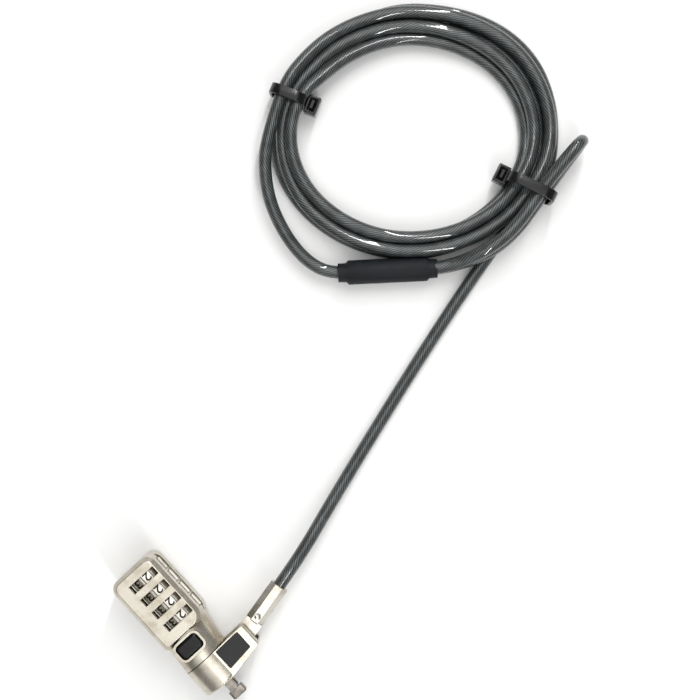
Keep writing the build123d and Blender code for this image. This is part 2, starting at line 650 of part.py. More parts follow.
def ferrule():
    """Tongue with a pin hole and an eight-sided sleeve crimped on the cable."""
    tongue = Cylinder(TONGUE_W / 2, TONGUE_T)
    tongue += box((-TONGUE_W / 2, TONGUE_W / 2), (0, SLEEVE_START + 0.5), (-TONGUE_T / 2, TONGUE_T / 2))
    section = RegularPolygon(FERRULE_FLATS / 2, 8, major_radius=False, rotation=22.5)
    plane = Plane(origin=(0, SLEEVE_START, 0), x_dir=(1, 0, 0), z_dir=(0, 1, 0))
    sleeve = extrude(plane * section, amount=SLEEVE_END - SLEEVE_START)
    sleeve = chamfer(sleeve.faces().sort_by(Axis.Y)[0].edges(), 0.35)
    body = tongue + sleeve
    body -= Pos(0, SLEEVE_START + 2.4, FERRULE_FLATS / 2 + 1.3) * Sphere(1.75)
    body -= Cylinder(PIN_R + PIN_RUN, 20)
    mouth = Plane(origin=(0, SLEEVE_END, 0), z_dir=(0, -1, 0))
    body -= extrude(mouth * Circle(CABLE_D / 2), amount=12)
    return cord_heading() * body


def cable_end():
    """Stripped end of the cable inside the ferrule."""
    mouth = Plane(origin=(0, SLEEVE_END, 0), z_dir=(0, -1, 0))
    return cord_heading() * extrude(mouth * Circle(CABLE_D / 2), amount=12)


# ---- cable -----------------------------------------------------------------------------------
def tube(name, route):
    """Round cable along straight runs joined by arcs; prints its length and its radii."""
    points = [Vector(*point) for point in route]
    runs = [points[i + 1] - points[i] for i in range(len(points) - 1)]
    radii = []
    for before, after in zip(runs, runs[1:]):
        half = math.radians(before.get_angle(after)) / 2
        radii.append(0.45 * min(before.length, after.length) / math.tan(half))
    path = FilletPolyline(*points, radius=radii)
    start = Plane(origin=path @ 0, z_dir=path % 0)
    body = sweep(start * Circle(CABLE_D / 2), path=path)
    section = math.pi * CABLE_D**2 / 4
    ratio = body.volume / (section * path.length)
    print(name, "length", round(path.length, 1), "volume ratio", round(ratio, 4))
    print("   radii", [round(radius, 1) for radius in radii])
    return body


def cable_coil():
    """Outer shape of the coil: an oval ring, thicker on one side than on the other."""
    outer_mid = COIL_MID + RIGHT * COIL_OUTER_SHIFT[0] + UP * COIL_OUTER_SHIFT[1]
    outer = Plane(origin=outer_mid, x_dir=RIGHT, z_dir=(0, 0, 1)) * Ellipse(*COIL_OUTER)
    inner = Plane(origin=COIL_MID, x_dir=RIGHT, z_dir=(0, 0, 1)) * Ellipse(*COIL_INNER)
    return extrude(outer, amount=COIL_H) - extrude(inner, amount=COIL_H)


def crimp_plane(along):
    """Cross-section plane of the eye crimp, a distance from its middle."""
    turn = math.radians(CRIMP_TURN)
    heading = Vector(math.cos(turn), math.sin(turn), 0)
    return Plane(origin=CRIMP_MID + heading * along, x_dir=(-heading.Y, heading.X, 0), z_dir=heading)


def oval_bar(half, length, grow=0.0):
    """Bar with an oval section along the crimp, middle on the crimp's middle."""
    section = Ellipse(half[0] + grow, half[1] + grow)
    return extrude(crimp_plane(-length / 2) * section, amount=length)


def crimp_cover():
    """Shrunk black sleeve: wide over the crimp, drawn in at both ends."""
    body = oval_bar(CRIMP_HALF, CRIMP_L)
    body = fillet(body.edges(), 0.6) + oval_bar(CRIMP_NECK_HALF, CRIMP_TOTAL_L)
    return body - oval_bar(CRIMP_HALF, CRIMP_L - 3, -CRIMP_WALL)


def eye_crimp():
    """Pressed metal sleeve that closes the eye, under the shrunk sleeve."""
    return oval_bar(CRIMP_HALF, CRIMP_L - 3.1, -CRIMP_WALL - 0.05)


def cable_tie(origin, outward, inner):
    """Nylon tie: square-section loop, ratchet head on the inside of the coil, cut tail."""
    low, high, top = inner
    width = high - low
    tall = top - TIE_T
    mid = (low + high) / 2
    hole = RectangleRounded(width, tall, 2.2)
    band = RectangleRounded(width + 2 * TIE_T, tall + 2 * TIE_T, 3.0)
    loop = Pos(mid, 0, 0) * extrude(band - hole, amount=TIE_W / 2, both=True)
    head_x = low - TIE_T - TIE_HEAD_IN
    head = Pos(head_x, 0, TIE_HEAD_Z) * Box(*TIE_HEAD)
    head = fillet(head.edges().filter_by(Axis.Z), 0.9)
    head = chamfer(head.faces().sort_by(Axis.Z)[-1].edges(), 0.4)
    tail = Pos(head_x, 0, TIE_HEAD_Z + TIE_TAIL_UP) * Box(*TIE_TAIL)
    frame = Plane(origin=origin, x_dir=outward, z_dir=Vector(*outward).cross(Vector(0, 0, 1)))
    loop_part = frame * Pos(0, tall / 2 + TIE_T, 0) * loop
    flat = Plane(origin=origin, x_dir=outward, z_dir=(0, 0, 1))
    return loop_part + flat * (head + tail)


def ring_point(turn, off):
    """A point of the coil: angle about its middle, distance outside its opening."""
    angle = math.radians(turn)
    along = RIGHT * ((COIL_INNER[0] + off) * math.cos(angle))
    return COIL_MID + along + UP * ((COIL_INNER[1] + off) * math.sin(angle))


def tie_at(turn, inner):
    """A tie round the coil at one angle."""
    start = ring_point(turn, 0)
    outward = (ring_point(turn, 12) - start).normalized()
    return cable_tie(start, outward, inner)


PARTS = {
    "housing": housing,
    "back_cover": back_cover,
    "cover_screws": cover_screws,
    "reset_screw": reset_screw,
    "detent_spring": detent_spring,
    "spindle": spindle,
    "return_spring": return_spring,
    "push_button": push_button,
    "button_spring": button_spring,
    "nose_guide": nose_guide,
    "nose_pin": nose_pin,
    "retaining_ring": retaining_ring,
    "t_bar": t_bar,
    "collar": collar,
    "collar_pad": collar_pad,
    "hinge_pin": hinge_pin,
    "ferrule": ferrule,
    "cable_end": cable_end,
    "cable_coil": cable_coil,
    "eye_crimp": eye_crimp,
    "crimp_cover": crimp_cover,
}
for piece_name, maker in PARTS.items():
    save(maker(), piece_name)
for dial_index in range(DIAL_COUNT):
    save(dial(dial_index), f"dial_{dial_index + 1}")
    save(code_sleeve(dial_index), f"code_sleeve_{dial_index + 1}")
save(tube("cable_lead", LEAD_ROUTE), "cable_lead")
save(tube("cable_tail", TAIL_ROUTE), "cable_tail")
save(tube("cable_eye", EYE_ROUTE), "cable_eye")
save(tie_at(158, (-0.2, 11.2, 13.0)), "cable_tie_left")
save(tie_at(-26, (-0.2, 15.8, 15.6)), "cable_tie_right")
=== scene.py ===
import logging
import math
from dataclasses import dataclass, field
from enum import Enum
from typing import Any, Iterable, Sequence

import bpy
from mathutils import Matrix, Vector


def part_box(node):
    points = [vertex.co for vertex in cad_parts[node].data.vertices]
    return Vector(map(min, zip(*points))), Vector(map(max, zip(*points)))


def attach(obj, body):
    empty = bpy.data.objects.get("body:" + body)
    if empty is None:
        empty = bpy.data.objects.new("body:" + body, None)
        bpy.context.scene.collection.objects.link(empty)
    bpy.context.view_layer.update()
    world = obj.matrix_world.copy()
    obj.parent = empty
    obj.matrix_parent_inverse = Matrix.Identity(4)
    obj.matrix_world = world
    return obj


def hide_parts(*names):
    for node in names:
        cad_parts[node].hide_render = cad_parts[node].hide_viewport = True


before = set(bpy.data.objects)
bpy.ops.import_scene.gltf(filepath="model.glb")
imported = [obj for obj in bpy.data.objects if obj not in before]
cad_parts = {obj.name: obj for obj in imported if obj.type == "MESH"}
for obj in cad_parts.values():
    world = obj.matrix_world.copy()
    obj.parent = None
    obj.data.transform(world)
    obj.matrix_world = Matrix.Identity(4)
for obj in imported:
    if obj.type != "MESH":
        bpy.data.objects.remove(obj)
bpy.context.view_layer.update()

LOG = logging.getLogger("cable_lock")
MM = 0.001
DIAL_COUNT = 4
DIGIT_COUNT = 10

Point = tuple[float, float, float]


# ---- small helpers -------------------------------------------------------------------------
def linear(colour: str) -> tuple[float, float, float, float]:
    """Turn an sRGB hex colour into linear light.

    Args:
        colour: six hex digits after a hash sign.

    Returns:
        Red, green, blue and an alpha of one.
    """
    parts = [int(colour[i : i + 2], 16) / 255 for i in (1, 3, 5)]
    light = [p / 12.92 if p <= 0.04045 else ((p + 0.055) / 1.055) ** 2.4 for p in parts]
    return (light[0], light[1], light[2], 1.0)


def add_node(tree: bpy.types.NodeTree, kind: str, settings: dict[str, Any], inputs: dict[Any, Any]) -> Any:
    """Add one shader node with its settings, values and links.

    Args:
        tree: node tree that takes the node.
        kind: type name of the node.
        settings: attributes to set on the node; "stops" gives a ramp its pairs of place and hex colour.
        inputs: value or output socket for each input, by name or number.

    Returns:
        The new node.
    """
    node = tree.nodes.new(kind)
    for name, value in settings.items():
        if name != "stops":
            setattr(node, name, value)
            continue
        elements = node.color_ramp.elements
        while len(elements) < len(value):
            elements.new(1.0)
        for element, (place, colour) in zip(elements, value):
            element.position, element.color = place, linear(colour)
    for name, value in inputs.items():
        if isinstance(value, bpy.types.NodeSocket):
            tree.links.new(value, node.inputs[name])
        else:
            node.inputs[name].default_value = value
    return node


def deselect() -> None:
    """Leave nothing selected."""
    if bpy.context.object and bpy.context.object.mode != "OBJECT":
        bpy.ops.object.mode_set(mode="OBJECT")
    bpy.ops.object.select_all(action="DESELECT")


def activate(piece: bpy.types.Object) -> None:
    """Select one object alone and make it active.

    Args:
        piece: the object.
    """
    deselect()
    piece.select_set(True)
    bpy.context.view_layer.objects.active = piece


def settle(piece: bpy.types.Object) -> None:
    """Put the object's place, turn and size into its mesh.

    Args:
        piece: the object.
    """
    activate(piece)
    bpy.ops.object.transform_apply(location=True, rotation=True, scale=True)


def apply_modifiers(piece: bpy.types.Object) -> None:
    """Apply every modifier in order.

    Args:
        piece: the object.
    """
    activate(piece)
    for modifier in list(piece.modifiers):
        bpy.ops.object.modifier_apply(modifier=modifier.name)


def break_edges(piece: bpy.types.Object, width: float, segments: int, degrees: float) -> None:
    """Add a bevel on every edge sharper than an angle, to be applied with the other modifiers.

    Args:
        piece: mesh object.
        width: width of the bevel, in the mesh's own units.
        segments: faces across it.
        degrees: the angle.
    """
    bevel = piece.modifiers.new("edges", "BEVEL")
    bevel.width = width
    bevel.segments = segments
    bevel.limit_method = "ANGLE"
    bevel.angle_limit = math.radians(degrees)


def outward_normals(piece: bpy.types.Object) -> None:
    """Merge doubles and turn every face outwards.

    Args:
        piece: mesh object.
    """
    activate(piece)
    bpy.ops.object.mode_set(mode="EDIT")
    bpy.ops.mesh.select_all(action="SELECT")
    bpy.ops.mesh.remove_doubles(threshold=1e-7)
    bpy.ops.mesh.normals_make_consistent(inside=False)
    bpy.ops.object.mode_set(mode="OBJECT")


def select_faces(piece: bpy.types.Object, test: Any) -> None:
    """Select only the faces that pass a test, and leave the piece in object mode.

    Args:
        piece: mesh object.
        test: function of a polygon that says whether to select it.
    """
    activate(piece)
    bpy.ops.object.mode_set(mode="EDIT")
    bpy.ops.mesh.select_mode(type="FACE")
    bpy.ops.mesh.select_all(action="DESELECT")
    bpy.ops.object.mode_set(mode="OBJECT")
    for polygon in piece.data.polygons:
        polygon.select = bool(test(polygon))


def smooth(piece: bpy.types.Object, degrees: float = 35.0) -> None:
    """Shade smooth, with edges sharper than an angle left hard.

    Args:
        piece: mesh object.
        degrees: the angle.
    """
    activate(piece)
    bpy.ops.object.shade_smooth_by_angle(angle=math.radians(degrees))


def dress(piece: bpy.types.Object, material: bpy.types.Material) -> None:
    """Give every material slot of an object one material.

    Args:
        piece: the object.
        material: the material.
    """
    if not piece.material_slots:
        piece.data.materials.append(material)
    for slot in piece.material_slots:
        slot.material = material


def join(pieces: Sequence[bpy.types.Object], name: str) -> bpy.types.Object:
    """Join objects into the first one and name it.

    Args:
        pieces: mesh objects with their places applied.
        name: name of the result.

    Returns:
        The joined object.
    """
    deselect()
    for piece in pieces:
        piece.select_set(True)
    bpy.context.view_layer.objects.active = pieces[0]
    bpy.ops.object.join()
    pieces[0].name = name
    return pieces[0]


# ---- finishes ------------------------------------------------------------------------------
class Working(Enum):
    """How a metal surface was made: the stretch of its grain along X, Y and Z."""

    CAST = (1.0, 1.0, 1.0)
    GROUND = (0.12, 1.0, 1.0)
    TURNED = (1.0, 0.12, 0.12)


@dataclass(frozen=True)
class Metal:
    """A bare or plated metal with its grain, stains and painted shade in its corners.

    Args:
        name: the metal's common name.
        bright: hex colour of clean metal.
        dull: hex colour of stained metal.
        roughness: middle of its roughness.
        working: how its surface was made.
        grain_mm: width of a grain; real grains are finer, drawn this coarse so that they show.
        relief_mm: height of the grain.
        stain_mm: width of a stained patch.
        corner_mm: how far from a corner the painted shade reaches.
        grime: hex colour of the painted shade in corners and recesses.
        spread: how far the roughness goes below and above its middle.
    """

    name: str
    bright: str
    dull: str
    roughness: float
    working: Working
    grain_mm: float = 0.22
    relief_mm: float = 0.004
    stain_mm: float = 7.0
    corner_mm: float = 1.3
    # dark brown of the painted shade in corners and recesses
    grime: str = "#2A2622"
    spread: tuple[float, float] = (-0.06, 0.08)

    def build(self) -> bpy.types.Material:
        """Make the material.

        Returns:
            The material.
        """
        material = bpy.data.materials.new(self.name)
        material.use_nodes = True
        tree = material.node_tree
        shader = tree.nodes["Principled BSDF"]
        place = add_node(tree, "ShaderNodeTexCoord", {}, {}).outputs["Object"]
        stretched = add_node(
            tree, "ShaderNodeMapping", {}, {"Vector": place, "Scale": self.working.value}
        ).outputs["Vector"]
        grain = add_node(
            tree,
            "ShaderNodeTexNoise",
            {},
            {"Vector": stretched, "Scale": 1 / (self.grain_mm * MM), "Detail": 3.0},
        ).outputs["Fac"]
        stain = add_node(
            tree,
            "ShaderNodeTexNoise",
            {},
            {"Vector": place, "Scale": 1 / (self.stain_mm * MM), "Detail": 5.0, "Roughness": 0.6},
        ).outputs["Fac"]
        colour = add_node(
            tree, "ShaderNodeValToRGB", {"stops": ((0.36, self.dull), (0.56, self.bright))}, {"Fac": stain}
        ).outputs["Color"]
        # painted shade: an occlusion node darkens corners and recesses towards a dark brown
        corner = add_node(
            tree, "ShaderNodeAmbientOcclusion", {"samples": 8}, {"Distance": self.corner_mm * MM}
        ).outputs["AO"]
        grime = add_node(
            tree, "ShaderNodeValToRGB", {"stops": ((0.25, self.grime), (0.85, "#FFFFFF"))}, {"Fac": corner}
        ).outputs["Color"]
        shaded = add_node(
            tree,
            "ShaderNodeMix",
            {"data_type": "RGBA", "blend_type": "MULTIPLY"},
            {0: 1.0, 6: colour, 7: grime},
        ).outputs[2]
        tree.links.new(shaded, shader.inputs["Base Color"])
        rough = add_node(
            tree,
            "ShaderNodeMapRange",
            {},
            {"Value": grain, "From Min": 0.3, "From Max": 0.7,
             "To Min": self.roughness + self.spread[0], "To Max": self.roughness + self.spread[1]},
        ).outputs["Result"]
        tree.links.new(rough, shader.inputs["Roughness"])
        shader.inputs["Metallic"].default_value = 1.0
        bump = add_node(
            tree, "ShaderNodeBump", {}, {"Height": grain, "Distance": self.relief_mm * MM, "Strength": 0.6}
        )
        tree.links.new(bump.outputs["Normal"], shader.inputs["Normal"])
        return material


@dataclass(frozen=True)
class Moulded:
    """A moulded, shrunk or printed plastic with a fine skin texture.

    Args:
        name: the plastic's common name.
        colour: hex colour.
        scuffed: hex colour of its rubbed spots.
        roughness: middle of its roughness.
        skin_mm: width of the skin's texture; drawn coarser than real so that it shows.
        relief_mm: height of the skin's texture.
        coat: strength of the gloss layer over it.
        sheen: strength of its own reflection, 0.5 for a clean polished plastic.
        scuff_mm: width of a rubbed spot.
        spread: how far the roughness goes below and above its middle.
    """

    name: str
    colour: str
    scuffed: str
    roughness: float
    skin_mm: float = 0.3
    relief_mm: float = 0.012
    coat: float = 0.0
    sheen: float = 0.28
    scuff_mm: float = 2.5
    spread: tuple[float, float] = (-0.05, 0.1)

    def build(self) -> bpy.types.Material:
        """Make the material.

        Returns:
            The material.
        """
        material = bpy.data.materials.new(self.name)
        material.use_nodes = True
        tree = material.node_tree
        shader = tree.nodes["Principled BSDF"]
        place = add_node(tree, "ShaderNodeTexCoord", {}, {}).outputs["Object"]
        skin = add_node(
            tree, "ShaderNodeTexNoise", {}, {"Vector": place, "Scale": 1 / (self.skin_mm * MM), "Detail": 2.0}
        ).outputs["Fac"]
        scuffs = add_node(
            tree,
            "ShaderNodeTexNoise",
            {},
            {"Vector": place, "Scale": 1 / (self.scuff_mm * MM), "Detail": 6.0},
        ).outputs["Fac"]
        stops = ((0.45, self.colour), (0.75, self.scuffed))
        colour = add_node(tree, "ShaderNodeValToRGB", {"stops": stops}, {"Fac": scuffs}).outputs["Color"]
        tree.links.new(colour, shader.inputs["Base Color"])
        rough = add_node(
            tree,
            "ShaderNodeMapRange",
            {},
            {"Value": scuffs, "From Min": 0.3, "From Max": 0.7,
             "To Min": self.roughness + self.spread[0], "To Max": self.roughness + self.spread[1]},
        ).outputs["Result"]
        tree.links.new(rough, shader.inputs["Roughness"])
        shader.inputs["Specular IOR Level"].default_value = self.sheen
        shader.inputs["Coat Weight"].default_value = self.coat
        shader.inputs["Coat Roughness"].default_value = 0.12
        bump = add_node(
            tree, "ShaderNodeBump", {}, {"Height": skin, "Distance": self.relief_mm * MM, "Strength": 0.5}
        )
        tree.links.new(bump.outputs["Normal"], shader.inputs["Normal"])
        return material


@dataclass(frozen=True)
class JacketedStrand:
    """Twisted steel strands seen through a smoky clear PVC jacket.

    The strands lie under the jacket, so they are colour and relief in the base, the colour with painted
    shade between them and a painted highlight on each crest, and the jacket is a smooth clear coat over
    them that takes the long white reflections.

    Args:
        name: the material's common name.
        strand_count: strands laid round the cable.
        gap: hex colour of the painted shade between two strands.
        wire: hex colour of a strand's side.
        glint: hex colour of the painted highlight on a strand's crest.
        wire_share: how strongly single wires show across the strands, against one for the strands.
        smoke_share: how strongly the jacket's clouding shows, on the same scale.
        smoke_mm: width of a cloud in the jacket.
        relief_mm: depth between two strands.
    """

    name: str = "smoky_pvc_over_steel_strand"
    strand_count: int = 16
    gap: str = "#040505"
    wire: str = "#141818"
    glint: str = "#7C8686"
    wire_share: float = 0.28
    smoke_share: float = 0.5
    smoke_mm: float = 4.0
    relief_mm: float = 0.25

    def build(self) -> bpy.types.Material:
        """Make the material. The piece's UV map counts turns round it and lays along it.

        Returns:
            The material.
        """
        material = bpy.data.materials.new(self.name)
        material.use_nodes = True
        tree = material.node_tree
        shader = tree.nodes["Principled BSDF"]
        lay = add_node(tree, "ShaderNodeUVMap", {"uv_map": "lay"}, {}).outputs["UV"]
        parts = add_node(tree, "ShaderNodeSeparateXYZ", {}, {"Vector": lay})
        around, along = parts.outputs["X"], parts.outputs["Y"]
        turns = add_node(tree, "ShaderNodeMath", {"operation": "ADD"}, {0: around, 1: along}).outputs[0]
        strands = self.wave(tree, turns, self.strand_count)
        back = add_node(tree, "ShaderNodeMath", {"operation": "MULTIPLY"}, {0: along, 1: -2.0}).outputs[0]
        against = add_node(tree, "ShaderNodeMath", {"operation": "ADD"}, {0: around, 1: back}).outputs[0]
        wires = self.wave(tree, against, 3 * self.strand_count)
        weave = add_node(
            tree, "ShaderNodeMath", {"operation": "MULTIPLY_ADD"}, {0: wires, 1: self.wire_share, 2: strands}
        ).outputs[0]
        place = add_node(tree, "ShaderNodeTexCoord", {}, {}).outputs["Object"]
        smoke = add_node(
            tree,
            "ShaderNodeTexNoise",
            {},
            {"Vector": place, "Scale": 1 / (self.smoke_mm * MM), "Detail": 3.0},
        ).outputs["Fac"]
        clouded = add_node(
            tree, "ShaderNodeMath", {"operation": "MULTIPLY_ADD"}, {0: smoke, 1: self.smoke_share, 2: weave}
        ).outputs[0]
        whole = 1 + self.wire_share + self.smoke_share
        share = add_node(tree, "ShaderNodeMath", {"operation": "DIVIDE"}, {0: clouded, 1: whole}).outputs[0]
        # painted shade in the gaps between strands and a painted highlight on their crests
        stops = ((0.3, self.gap), (0.7, self.wire), (0.95, self.glint))
        colour = add_node(tree, "ShaderNodeValToRGB", {"stops": stops}, {"Fac": share}).outputs["Color"]
        tree.links.new(colour, shader.inputs["Base Color"])
        shader.inputs["Metallic"].default_value = 0.2
        shader.inputs["Roughness"].default_value = 0.5
        shader.inputs["Coat Weight"].default_value = 1.0
        shader.inputs["Coat Roughness"].default_value = 0.05
        shader.inputs["Coat IOR"].default_value = 1.53
        bump = add_node(
            tree, "ShaderNodeBump", {}, {"Height": weave, "Distance": self.relief_mm * MM, "Strength": 0.5}
        )
        tree.links.new(bump.outputs["Normal"], shader.inputs["Normal"])
        return material

    @staticmethod
    def wave(tree: bpy.types.NodeTree, turns: Any, count: int) -> Any:
        """Add a rounded wave that rises and falls count times in a turn.

        Args:
            tree: node tree that takes the nodes.
            turns: output socket that counts turns.
            count: whole number of waves in a turn, so that the seam doesn't show.

        Returns:
            The wave's output socket, from 0 to 1.
        """
        angle = add_node(
            tree, "ShaderNodeMath", {"operation": "MULTIPLY"}, {0: turns, 1: count * math.pi}
        ).outputs[0]
        sine = add_node(tree, "ShaderNodeMath", {"operation": "SINE"}, {0: angle}).outputs[0]
        return add_node(tree, "ShaderNodeMath", {"operation": "ABSOLUTE"}, {0: sine}).outputs[0]


@dataclass
class Finishes:
    """Every finish of the lock, made once."""

    nickel: bpy.types.Material = field(init=False)
    hard_steel: bpy.types.Material = field(init=False)
    zinc_steel: bpy.types.Material = field(init=False)
    spring_steel: bpy.types.Material = field(init=False)
    ferrule_steel: bpy.types.Material = field(init=False)
    aluminium: bpy.types.Material = field(init=False)
    dial_chrome: bpy.types.Material = field(init=False)
    brass: bpy.types.Material = field(init=False)
    abs_black: bpy.types.Material = field(init=False)
    shrink: bpy.types.Material = field(init=False)
    nylon: bpy.types.Material = field(init=False)
    ink: bpy.types.Material = field(init=False)
    jacket: bpy.types.Material = field(init=False)

    def __post_init__(self) -> None:
        """Build the materials."""
        # satin plating over a die casting: soft broad highlights and a slightly sandy skin
        self.nickel = Metal("satin_nickel", "#D2CCBE", "#B9B0A0", 0.30, Working.CAST, 0.26, 0.005).build()
        # ground and hardened: darker, with fine lines along the shaft
        self.hard_steel = Metal("hardened_steel", "#A09A92", "#6E675F", 0.34, Working.GROUND).build()
        # thin bluish plating, a little brighter
        self.zinc_steel = Metal("zinc_plated_steel", "#B9BCC0", "#92969A", 0.3, Working.TURNED).build()
        # drawn wire and strip, dark from tempering
        self.spring_steel = Metal("spring_steel", "#8C8A88", "#5F5C5A", 0.36, Working.GROUND).build()
        # pressed bright plating with flat facets that mirror the room
        self.ferrule_steel = Metal("bright_nickel_on_steel", "#DDD9CF", "#BEB5A6", 0.2, Working.CAST).build()
        # soft sleeve scored by the crimping dies
        self.aluminium = Metal("pressed_aluminium", "#C9CACC", "#A3A5A8", 0.4, Working.TURNED).build()
        # plated wheels, finer and brighter than the case
        self.dial_chrome = Metal("satin_chrome", "#D6D2C8", "#B4AEA2", 0.26, Working.TURNED, 0.16).build()
        # bright turned brass with rings from the tool
        self.brass = Metal("turned_brass", "#D0A95A", "#9A7434", 0.28, Working.TURNED).build()
        # moulded in a polished tool: deep black with a soft shine
        self.abs_black = Moulded("black_abs", "#040405", "#0C0C0E", 0.3, coat=0.15).build()
        # polyolefin sleeve: matt blue-black, slightly pebbled
        self.shrink = Moulded("polyolefin_shrink_sleeve", "#0E1216", "#1B2026", 0.6, 0.45, 0.02).build()
        # moulded nylon: black with a waxy shine
        self.nylon = Moulded("black_nylon", "#030303", "#0A0A0A", 0.28, 0.4, 0.01, coat=0.25).build()
        # paint wiped into the digits: flat black
        self.ink = Moulded("digit_paint", "#0A0A0A", "#1C1B1A", 0.6, 0.12, 0.004).build()
        self.jacket = JacketedStrand().build()
        LOG.info("finishes: 13 materials")


# ---- studio --------------------------------------------------------------------------------
@dataclass
class Studio:
    """White table, soft light and a camera straight above the lock.

    Args:
        eye: place of the camera, in metres.
        turn: degrees that the camera is turned about its own axis.
        lens: focal length, in millimetres.
        sensor: width of the sensor, in millimetres.
        table_half: half the table's width, in metres.
        table_drop: how far the table lies under the lock, so that the two faces don't flicker.
        air: strength of the pale surroundings.
    """

    eye: Point = (-0.0242, 0.10805, 0.480)
    turn: float = 47.5
    lens: float = 70.1
    sensor: float = 36.0
    table_half: float = 1.5
    table_drop: float = 0.00005
    air: float = 0.28

    def build(self) -> None:
        """Make the table, the light and the camera."""
        self.table()
        self.light()
        self.camera()
        bpy.context.scene.view_settings.view_transform = "Standard"
        LOG.info("studio: table, five lights, camera")

    def table(self) -> None:
        """A pale table top."""
        deselect()
        place = (self.eye[0], self.eye[1], -self.table_drop)
        bpy.ops.mesh.primitive_plane_add(size=2 * self.table_half, location=place)
        top = bpy.context.object
        top.name = "table_top"
        material = bpy.data.materials.new("pale_table")
        material.use_nodes = True
        shader = material.node_tree.nodes["Principled BSDF"]
        shader.inputs["Base Color"].default_value = linear("#F6F6F5")
        shader.inputs["Roughness"].default_value = 0.85
        dress(top, material)

    def light(self) -> None:
        """Pale surroundings, a lamp overhead, a broad key, two strips for long reflections, a fill."""
        world = bpy.data.worlds.new("studio_air")
        world.use_nodes = True
        world.node_tree.nodes["Background"].inputs["Color"].default_value = (1, 1, 1, 1)
        world.node_tree.nodes["Background"].inputs["Strength"].default_value = self.air
        bpy.context.scene.world = world
        self.softbox("overhead", (-0.05, 0.10, 1.0), (0.7, 0.7), 2.3)
        self.softbox("key", (-0.50, 0.60, 0.85), (0.9, 0.9), 4.2)
        self.softbox("strip_far", (-0.28, 0.50, 0.45), (0.02, 0.6), 1.6)
        self.softbox("strip_near", (0.38, -0.02, 0.45), (0.02, 0.6), 1.2)
        self.softbox("fill", (0.45, -0.40, 0.85), (0.9, 0.9), 1.8)

    def softbox(self, name: str, place: Point, size: tuple[float, float], power: float) -> None:
        """Add one rectangular lamp aimed at the middle of the lock.

        Args:
            name: lamp's name.
            place: its place in metres.
            size: its width and length in metres.
            power: its power in watts.
        """
        lamp = bpy.data.lights.new(name, "AREA")
        lamp.shape = "RECTANGLE"
        lamp.size, lamp.size_y = size
        lamp.energy = power
        holder = bpy.data.objects.new(name, lamp)
        bpy.context.scene.collection.objects.link(holder)
        holder.location = place
        aim = Vector((self.eye[0], self.eye[1], 0)) - Vector(place)
        holder.rotation_euler = aim.to_track_quat("-Z", "Y").to_euler()

    def camera(self) -> None:
        """Camera looking straight down."""
        view = bpy.data.cameras.new("camera")
        view.lens = self.lens
        view.sensor_width = self.sensor
        holder = bpy.data.objects.new("camera", view)
        bpy.context.scene.collection.objects.link(holder)
        holder.location = self.eye
        holder.rotation_euler = (0, 0, math.radians(self.turn))
        bpy.context.scene.camera = holder


# ---- cable ---------------------------------------------------------------------------------
LEAD_ROUTE: list[Point] = [
    (19.26, 35.16, 8.85), (16.64, 47.5, 8.8), (11.0, 66.0, 4.6), (4.0, 90.0, 2.3), (-4.9, 121.5, 2.35),
    (-12.2, 149.5, 2.3), (-17.0, 171.0, 2.3), (-18.9, 183.4, 2.6), (-20.8, 193.8, 3.2),
]
TAIL_ROUTE: list[Point] = [
    (-97.5, 136.5, 9.6), (-91.3, 129.2, 8.8), (-81.5, 122.4, 6.9), (-70.2, 118.7, 5.4),
    (-59.8, 117.7, 4.9), (-52.0, 119.3, 4.85), (-46.8, 123.1, 4.85),
]
INSIDE_CRIMP: list[Point] = [(-40.2, 131.0, 4.3), (-31.3, 141.7, 2.6)]
EYE_END: list[Point] = [(-28.5, 145.0, 7.15), (-32.3, 140.4, 7.1)]
EYE_ROUTE: list[Point] = [
    (-24.7, 149.6, 2.5), (-21.0, 155.8, 3.3), (-17.6, 163.2, 6.8), (-15.8, 171.0, 7.9),
    (-16.0, 180.0, 8.0), (-17.8, 188.5, 7.8), (-19.3, 196.4, 7.3), (-20.9, 204.4, 4.9),
    (-22.3, 212.3, 3.5), (-23.1, 215.9, 6.7), (-23.3, 215.9, 11.2), (-23.2, 212.3, 14.5),
    (-22.2, 204.8, 13.8), (-20.8, 196.2, 12.7), (-19.0, 188.0, 12.3), (-17.1, 179.8, 12.2),
    (-16.9, 171.2, 12.1), (-18.5, 163.0, 10.9), (-21.3, 155.6, 8.1), (-24.7, 149.6, 7.2),
]


